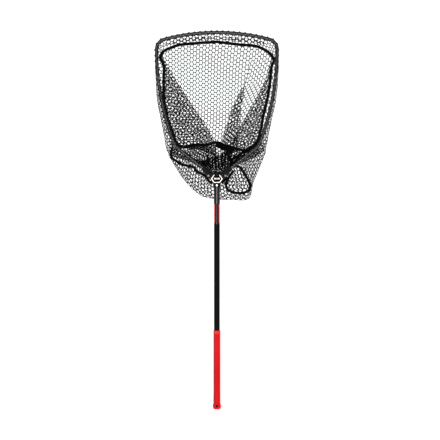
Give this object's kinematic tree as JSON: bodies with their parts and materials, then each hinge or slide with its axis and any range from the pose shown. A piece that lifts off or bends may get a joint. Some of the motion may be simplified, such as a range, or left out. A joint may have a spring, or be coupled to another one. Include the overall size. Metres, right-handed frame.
{
  "type": "landing net",
  "caption": "Landing net with a rigid trapezoid hoop, a deep flat-bottomed rubber mesh bag and a long handle that slides through a push-button yoke.",
  "frame": {"origin": "centre of the butt cap's flat end, on the handle's axis", "axes": "+Z along the handle towards the hoop; the hoop lies in the XZ plane with its mouth towards -Y and the bag behind it towards +Y; +X is to the right seen from the mouth side"},
  "size_m": [0.595, 0.254, 1.815],
  "materials": {
    "black_anodised": "satin black anodised tube",
    "gloss_black": "glossy black",
    "red_print": "bright red printed band",
    "black_print": "black printed panel",
    "red_grip": "smooth red grip",
    "black_rubber": "black rubber",
    "dark_plastic": "moulded black nylon",
    "white_nylon": "plain nylon",
    "spring_steel": "drawn wire",
    "bright_metal": "bright plated",
    "label_print": "plain two-tone bar",
    "bolt_steel": "grey zinc",
    "hoop_black": "black coated tube",
    "plain_aluminium": "plain mill finish",
    "rubber_mesh": "rubber-coated knotless mesh",
    "black_tape": "woven black tape"
  },
  "bodies": {
    "handle": {"handle_tube": "black_anodised", "gloss_ring": "gloss_black", "red_band": "red_print", "band_panel": "black_print", "grip": "red_grip", "grip_seal": "black_rubber", "end_cap": "red_grip", "lanyard_bush": "black_rubber", "top_stop": "dark_plastic", "button_carrier": "white_nylon", "button_spring": "spring_steel"},
    "button": {"snap_button": "bright_metal"},
    "net_frame": {"guide_sleeve": "gloss_black", "lock_collar": "dark_plastic", "collar_trim": "bright_metal", "yoke_front": "dark_plastic", "yoke_rear": "dark_plastic", "upper_bush": "white_nylon", "hex_bezel": "bright_metal", "badge_plate": "gloss_black", "badge_label": "label_print", "yoke_bolts": "bolt_steel", "yoke_nuts": "bolt_steel", "yoke_screws": "bolt_steel", "hoop_top": "hoop_black", "hoop_corner_left": "hoop_black", "hoop_corner_right": "hoop_black", "hoop_side_upper_left": "hoop_black", "hoop_side_upper_right": "hoop_black", "hoop_side_lower_left": "hoop_black", "hoop_side_lower_right": "hoop_black", "hoop_bend_left": "hoop_black", "hoop_bend_right": "hoop_black", "hoop_arm_left": "hoop_black", "hoop_arm_right": "hoop_black", "spigot_left": "plain_aluminium", "spigot_right": "plain_aluminium", "hoop_rivets": "bolt_steel", "net_wall_top": "rubber_mesh", "net_wall_left": "rubber_mesh", "net_wall_right": "rubber_mesh", "net_base": "rubber_mesh", "net_pouch": "rubber_mesh", "seam_tape": "black_tape", "webbing_tab": "black_tape"}
  },
  "joints": [
    {"name": "handle_slide", "type": "slide", "parent": "handle", "child": "net_frame", "axis": [0, 0, -1], "range_m": [0, 0.6]},
    {"name": "button_press", "type": "slide", "parent": "handle", "child": "button", "axis": [0, 1, 0], "range_m": [0, 0.005], "stiffness_N_per_m": 900, "springref_m": -0.004, "deforming": ["button_spring"]}
  ]
}
